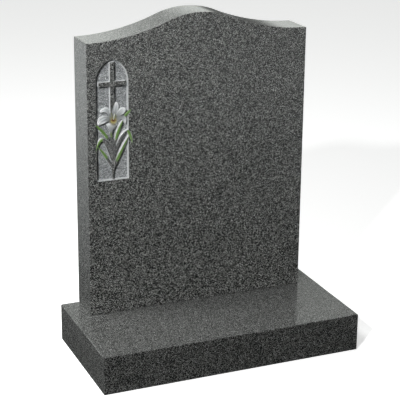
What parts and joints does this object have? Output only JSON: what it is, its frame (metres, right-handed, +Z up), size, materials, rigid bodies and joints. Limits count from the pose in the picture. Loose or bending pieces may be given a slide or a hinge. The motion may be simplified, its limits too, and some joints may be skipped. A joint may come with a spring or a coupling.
{
  "type": "upright_headstone",
  "caption": "Upright granite headstone with an ogee top on a rectangular base, its face carved with a sunk arched panel that holds a cross and a lily",
  "frame": {"origin": "middle of the base's underside", "axes": "+X along the face to the viewer's right, +Y from front to back, +Z up"},
  "size_m": [0.7112, 0.3556, 0.8893],
  "materials": {
    "headstone_granite": "polished grey speckled granite, sandblasted in the sunk panel and hand painted white and green on the lily",
    "base_granite": "polished grey speckled granite"
  },
  "bodies": {
    "root": {"headstone": "headstone_granite", "base": "base_granite"}
  },
  "joints": []
}
